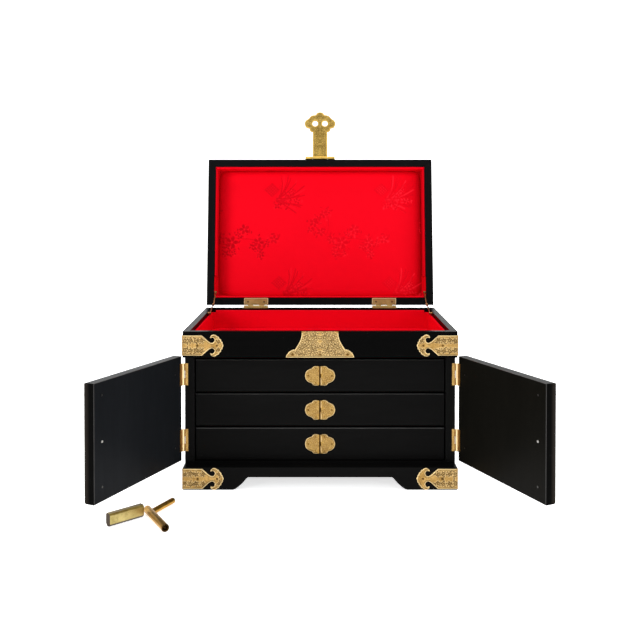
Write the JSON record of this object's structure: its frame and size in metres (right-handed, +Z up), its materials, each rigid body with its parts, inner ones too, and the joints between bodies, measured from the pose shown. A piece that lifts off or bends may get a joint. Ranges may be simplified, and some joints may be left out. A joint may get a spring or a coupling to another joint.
{
  "type": "jewelry chest",
  "caption": "Black lacquered wooden jewelry chest with lidded red-lined tray, drawers behind two doors, engraved brass mounts, hasp, lid stays and a loose padlock.",
  "frame": {"origin": "middle of the underside of the whole model's box at rest, on the plane that the feet stand on", "axes": "+Z up, -Y towards the viewer out of the drawer fronts, +X to the viewer's right"},
  "size_m": [0.5384, 0.444, 0.5167],
  "materials": {
    "black_lacquer": "satin lacquer",
    "dark_wood_inside": "matt stained",
    "red_brocade": "satin weave with tone on tone flowers",
    "antique_brass": "engraved, antiqued",
    "copper_plate": "satin"
  },
  "bodies": {
    "chest": {"plinth_boards": "black_lacquer", "carcass_floor_board": "dark_wood_inside", "carcass_left_side": "black_lacquer", "carcass_right_side": "black_lacquer", "carcass_back_panel": "black_lacquer", "dust_boards": "dark_wood_inside", "tray_front_wall": "black_lacquer", "tray_back_wall": "black_lacquer", "tray_left_wall": "black_lacquer", "tray_right_wall": "black_lacquer", "tray_floor_board": "dark_wood_inside", "tray_lining": "red_brocade", "corner_plate_upper_left": "antique_brass", "corner_plate_upper_right": "antique_brass", "corner_plate_lower_left": "antique_brass", "corner_plate_lower_right": "antique_brass", "front_lock_plate": "antique_brass", "plate_nails": "antique_brass", "door_hinge_case_leaves": "antique_brass", "lid_hinge_tray_leaves": "antique_brass", "hinge_pins": "antique_brass", "stay_tray_pivots": "copper_plate"},
    "lid": {"lid_front_wall": "black_lacquer", "lid_back_wall": "black_lacquer", "lid_side_walls": "black_lacquer", "lid_top_panel": "black_lacquer", "lid_lining": "red_brocade", "lid_hinge_lid_leaves": "antique_brass", "hasp_base_plate": "antique_brass", "hasp_pin": "antique_brass", "stay_lid_pivots": "copper_plate"},
    "hasp": {"hasp_strap": "antique_brass"},
    "left_door": {"left_door_panel": "black_lacquer", "left_door_lock_plate": "antique_brass", "left_door_rivets": "antique_brass", "left_door_hinge_door_leaves": "antique_brass"},
    "left_stay_lower": {"left_stay_lower_link": "copper_plate"},
    "left_stay_upper": {"left_stay_upper_link": "copper_plate"},
    "right_door": {"right_door_panel": "black_lacquer", "right_door_lock_plate": "antique_brass", "right_door_rivets": "antique_brass", "right_door_hinge_door_leaves": "antique_brass"},
    "right_stay_lower": {"right_stay_lower_link": "copper_plate"},
    "right_stay_upper": {"right_stay_upper_link": "copper_plate"},
    "drawer_bottom": {"drawer_bottom_front": "black_lacquer", "drawer_bottom_box": "dark_wood_inside", "drawer_bottom_lining": "red_brocade", "drawer_bottom_pull": "antique_brass"},
    "drawer_middle": {"drawer_middle_front": "black_lacquer", "drawer_middle_box": "dark_wood_inside", "drawer_middle_lining": "red_brocade", "drawer_middle_pull": "antique_brass"},
    "drawer_top": {"drawer_top_front": "black_lacquer", "drawer_top_box": "dark_wood_inside", "drawer_top_lining": "red_brocade", "drawer_top_pull": "antique_brass"},
    "left_eye": {"left_door_eye": "antique_brass"},
    "right_eye": {"right_door_eye": "antique_brass"},
    "padlock_body": {"padlock_body": "antique_brass"},
    "padlock_bolt": {"padlock_bolt": "antique_brass"}
  },
  "joints": [
    {"name": "lid_hinge", "type": "hinge", "parent": "chest", "child": "lid", "pos_m": [0, 0.15731, 0.2068], "axis": [-1, 0, 0], "range_deg": [-97, 0]},
    {"name": "hasp_hinge", "type": "hinge", "parent": "lid", "child": "hasp", "pos_m": [0, 0.19294, 0.44121], "axis": [-1, 0, 0], "range_deg": [-97, 8]},
    {"name": "left_door_hinge", "type": "hinge", "parent": "chest", "child": "left_door", "pos_m": [-0.18035, -0.05829, 0.1], "axis": [0, 0, -1], "range_deg": [-114, 60]},
    {"name": "right_door_hinge", "type": "hinge", "parent": "chest", "child": "right_door", "pos_m": [0.18035, -0.05829, 0.1], "axis": [0, 0, 1], "range_deg": [-114, 60]},
    {"name": "drawer_bottom_slide", "type": "slide", "parent": "chest", "child": "drawer_bottom", "axis": [0, -1, 0], "range_m": [0, 0.15]},
    {"name": "drawer_middle_slide", "type": "slide", "parent": "chest", "child": "drawer_middle", "axis": [0, -1, 0], "range_m": [0, 0.15]},
    {"name": "drawer_top_slide", "type": "slide", "parent": "chest", "child": "drawer_top", "axis": [0, -1, 0], "range_m": [0, 0.15]},
    {"name": "left_eye_hinge", "type": "hinge", "parent": "left_door", "child": "left_eye", "pos_m": [-0.26812, -0.20799, 0.1557], "axis": [0, 0, 1], "range_deg": [0, 90]},
    {"name": "right_eye_hinge", "type": "hinge", "parent": "right_door", "child": "right_eye", "pos_m": [0.26812, -0.20799, 0.1557], "axis": [0, 0, -1], "range_deg": [0, 90]},
    {"name": "left_stay_lower_pivot", "type": "hinge", "parent": "chest", "child": "left_stay_lower", "pos_m": [-0.16555, 0.1067, 0.2036], "axis": [1, 0, 0], "range_deg": [-65.48, 0]},
    {"name": "left_stay_upper_pivot", "type": "hinge", "parent": "lid", "child": "left_stay_upper", "pos_m": [-0.1642, 0.16403, 0.22874], "axis": [1, 0, 0], "range_deg": [-50.09, 0]},
    {"name": "right_stay_lower_pivot", "type": "hinge", "parent": "chest", "child": "right_stay_lower", "pos_m": [0.16555, 0.1067, 0.2036], "axis": [1, 0, 0], "range_deg": [-65.48, 0]},
    {"name": "right_stay_upper_pivot", "type": "hinge", "parent": "lid", "child": "right_stay_upper", "pos_m": [0.1642, 0.16403, 0.22874], "axis": [1, 0, 0], "range_deg": [-50.09, 0]},
    {"name": "padlock_body_slide", "type": "slide", "parent": "chest", "child": "padlock_body", "axis": [0, -1, 0], "range_m": [0, 0.08]},
    {"name": "padlock_bolt_slide", "type": "slide", "parent": "chest", "child": "padlock_bolt", "axis": [1, 0, 0], "range_m": [0, 0.05]}
  ],
  "couplings": [
    {"joint": "left_stay_lower_pivot", "follows": "lid_hinge", "ratio": 0.67482},
    {"joint": "left_stay_upper_pivot", "follows": "lid_hinge", "ratio": 0.51616},
    {"joint": "right_stay_lower_pivot", "follows": "lid_hinge", "ratio": 0.67482},
    {"joint": "right_stay_upper_pivot", "follows": "lid_hinge", "ratio": 0.51616}
  ]
}
